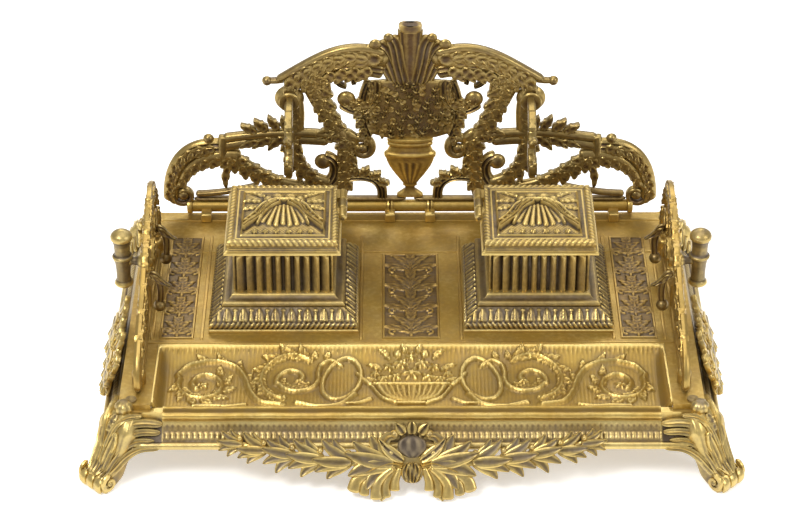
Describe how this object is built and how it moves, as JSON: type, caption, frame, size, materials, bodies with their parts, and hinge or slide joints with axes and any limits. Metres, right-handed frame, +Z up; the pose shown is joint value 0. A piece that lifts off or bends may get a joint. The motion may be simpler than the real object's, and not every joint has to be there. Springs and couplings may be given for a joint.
{
  "type": "desk inkstand",
  "caption": "Ornate cast brass desk stand on splayed leaf feet, with hinged square inkwells, a sunk pen tray in front and a pierced scroll gallery behind.",
  "frame": {"origin": "centre of the stand's bounding box, on the table surface under the feet", "axes": "+X across the stand to the right, +Y from the pen tray back to the gallery, +Z up"},
  "size_m": [0.3344, 0.2342, 0.1585],
  "materials": {
    "old_gold_brass": "aged cast brass, polished on the high points and dark in the recesses",
    "bright_brass": "embossed brass with a worn golden shine",
    "lid_brass": "cast brass with greenish patina in the relief",
    "well_brass": "cast brass, pale on the edges and dark in the grooves",
    "bronze_brown_brass": "brown toned cast brass",
    "fasteners": "dull turned brass",
    "ink_glass": "clear pressed glass, slightly green"
  },
  "bodies": {
    "stand": {"deck_plate": "bright_brass", "pen_tray": "bright_brass", "tray_rail": "bright_brass", "front_skirt": "old_gold_brass", "back_skirt": "old_gold_brass", "left_skirt": "old_gold_brass", "right_skirt": "old_gold_brass", "front_left_foot": "old_gold_brass", "front_right_foot": "old_gold_brass", "back_left_foot": "old_gold_brass", "back_right_foot": "old_gold_brass", "foot_screws": "fasteners", "front_garland": "old_gold_brass", "ribbon_bow": "old_gold_brass", "left_garland": "old_gold_brass", "right_garland": "old_gold_brass", "gallery_rod": "old_gold_brass", "gallery_studs": "fasteners", "gallery_nuts": "fasteners", "gallery_scrollwork": "bronze_brown_brass", "gallery_urn": "old_gold_brass", "plume_finial": "old_gold_brass", "left_pen_rest": "bronze_brown_brass", "right_pen_rest": "bronze_brown_brass", "pen_rest_rivets": "fasteners", "left_side_panel": "bronze_brown_brass", "right_side_panel": "bronze_brown_brass", "side_panel_screws": "fasteners", "left_side_finial": "old_gold_brass", "right_side_finial": "old_gold_brass", "left_pen_hooks": "bronze_brown_brass", "right_pen_hooks": "bronze_brown_brass", "left_well_base": "well_brass", "left_well_body": "well_brass", "left_ink_liner": "ink_glass", "left_hinge_pin": "fasteners", "right_well_base": "well_brass", "right_well_body": "well_brass", "right_ink_liner": "ink_glass", "right_hinge_pin": "fasteners", "well_bolts": "fasteners", "well_nuts": "fasteners"},
    "left_lid": {"left_lid": "lid_brass"},
    "right_lid": {"right_lid": "lid_brass"}
  },
  "joints": [
    {"name": "left_lid_hinge", "type": "hinge", "parent": "stand", "child": "left_lid", "pos_m": [-0.0356, 0.0325, 0.0836], "axis": [0, 1, 0], "range_deg": [0, 105]},
    {"name": "right_lid_hinge", "type": "hinge", "parent": "stand", "child": "right_lid", "pos_m": [0.0356, 0.0325, 0.0836], "axis": [0, -1, 0], "range_deg": [0, 105]}
  ]
}
